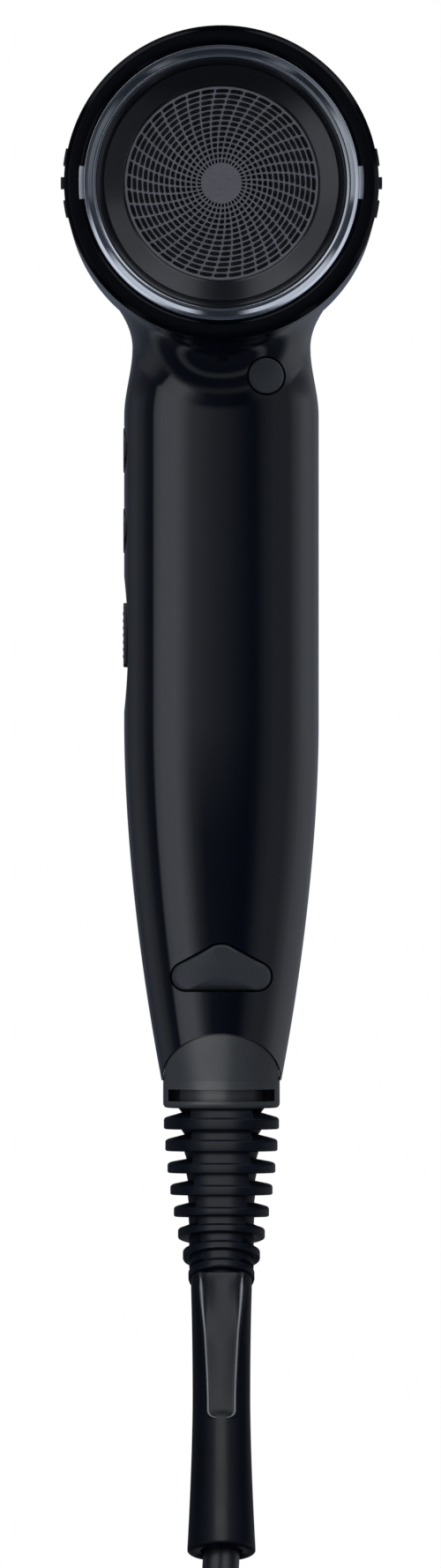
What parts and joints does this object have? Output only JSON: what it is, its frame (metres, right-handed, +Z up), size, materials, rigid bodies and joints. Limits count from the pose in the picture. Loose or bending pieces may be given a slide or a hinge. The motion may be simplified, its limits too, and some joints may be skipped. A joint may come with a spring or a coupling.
{
  "type": "hair dryer",
  "caption": "Hand-held hair dryer with a glossy barrel and handle, pull-off intake filter, push buttons, slide switch, ribbed bend relief and mains cord tied in a hank.",
  "frame": {"origin": "centre of the hand grip, on the handle's axis", "axes": "+Y along the barrel, the way the air blows; +Z up the handle to the barrel; +X to the right seen from behind, with the side controls on -X"},
  "size_m": [0.0723, 0.15, 0.5717],
  "materials": {
    "gloss_shell": "polished black",
    "gloss_rim": "polished black",
    "satin_ring": "satin",
    "etched_steel": "etched satin",
    "gauze": "fine gauze",
    "matte_black": "fine texture",
    "matte_grey": "fine texture",
    "soft_grey": "matte rubber",
    "soft_black": "satin rubber",
    "cord_pvc": "satin flexible pvc",
    "steel": "machined",
    "nickel": "nickel plated",
    "laminations": "stamped",
    "copper": "enamelled wire",
    "mica": "pressed mica",
    "resistance_wire": "coiled wire",
    "heat_black": "glass-filled nylon",
    "duct_grey": "moulded",
    "ceramic_white": "ceramic",
    "module_blue": "potted module",
    "board_green": "circuit board",
    "wire_brown": "insulated wire",
    "wire_grey": "glass-braid wire"
  },
  "bodies": {
    "dryer": {"rear_housing": "gloss_shell", "front_housing": "gloss_shell", "housing_screws": "steel", "intake_guard": "matte_black", "fan_duct": "duct_grey", "motor_can": "steel", "motor_end_cap": "duct_grey", "stator_core": "laminations", "stator_windings": "copper", "rear_bearing": "steel", "front_bearing": "steel", "heater_boards": "mica", "heater_sleeve": "mica", "heating_coils": "resistance_wire", "thermostat": "ceramic_white", "thermal_fuse": "ceramic_white", "outlet_grille": "heat_black", "outlet_collar": "heat_black", "ion_generator": "module_blue", "ion_emitter": "nickel", "housing_magnets": "nickel", "cool_shot_spring": "steel", "cool_shot_switch": "board_green", "temperature_spring": "steel", "speed_spring": "steel", "side_switches": "matte_black", "ion_spring": "steel", "ion_switch": "board_green", "slide_switch": "matte_black", "control_board": "board_green", "supply_wires": "wire_brown", "heater_wires": "wire_grey", "cord_clamp": "duct_grey", "clamp_screws": "steel", "inner_cord": "cord_pvc", "end_collar": "soft_grey", "bend_relief": "soft_black", "relief_sleeve": "soft_black", "cord_lead": "cord_pvc", "cord_hank": "cord_pvc", "cord_tail": "cord_pvc", "hank_tie": "soft_black", "plug_body": "cord_pvc", "plug_pins": "nickel"},
    "fan": {"impeller": "duct_grey", "motor_shaft": "steel", "rotor_magnet": "laminations"},
    "filter": {"filter_cap": "gloss_rim", "retaining_ring": "satin_ring", "filter_dish": "matte_black", "filter_grille": "etched_steel", "filter_gauze": "gauze", "cap_pads": "matte_black", "cap_magnets": "nickel"},
    "cool_shot": {"cool_shot_button": "matte_grey"},
    "temperature": {"temperature_button": "matte_black"},
    "speed": {"speed_button": "matte_black"},
    "ion": {"ion_button": "matte_grey"},
    "power_slider": {"slider_knob": "matte_black"}
  },
  "joints": [
    {"name": "fan_spin", "type": "hinge", "parent": "dryer", "child": "fan", "pos_m": [0, -0.02, 0.095], "axis": [0, 1, 0], "continuous": true},
    {"name": "filter_pull", "type": "slide", "parent": "dryer", "child": "filter", "axis": [0, -1, 0], "range_m": [0, 0.025]},
    {"name": "cool_shot_press", "type": "slide", "parent": "dryer", "child": "cool_shot", "axis": [0, 1, 0], "range_m": [0, 0.0012], "stiffness_N_per_m": 300, "springref_m": -0.001, "deforming": ["cool_shot_spring"]},
    {"name": "temperature_press", "type": "slide", "parent": "dryer", "child": "temperature", "axis": [1, 0, 0], "range_m": [0, 0.0012], "stiffness_N_per_m": 300, "springref_m": -0.001, "deforming": ["temperature_spring"]},
    {"name": "speed_press", "type": "slide", "parent": "dryer", "child": "speed", "axis": [1, 0, 0], "range_m": [0, 0.0012], "stiffness_N_per_m": 300, "springref_m": -0.001, "deforming": ["speed_spring"]},
    {"name": "ion_press", "type": "slide", "parent": "dryer", "child": "ion", "axis": [0, 1, 0], "range_m": [0, 0.0012], "stiffness_N_per_m": 300, "springref_m": -0.001, "deforming": ["ion_spring"]},
    {"name": "power_slide", "type": "slide", "parent": "dryer", "child": "power_slider", "axis": [0, 0, -1], "range_m": [0, 0.004]}
  ]
}
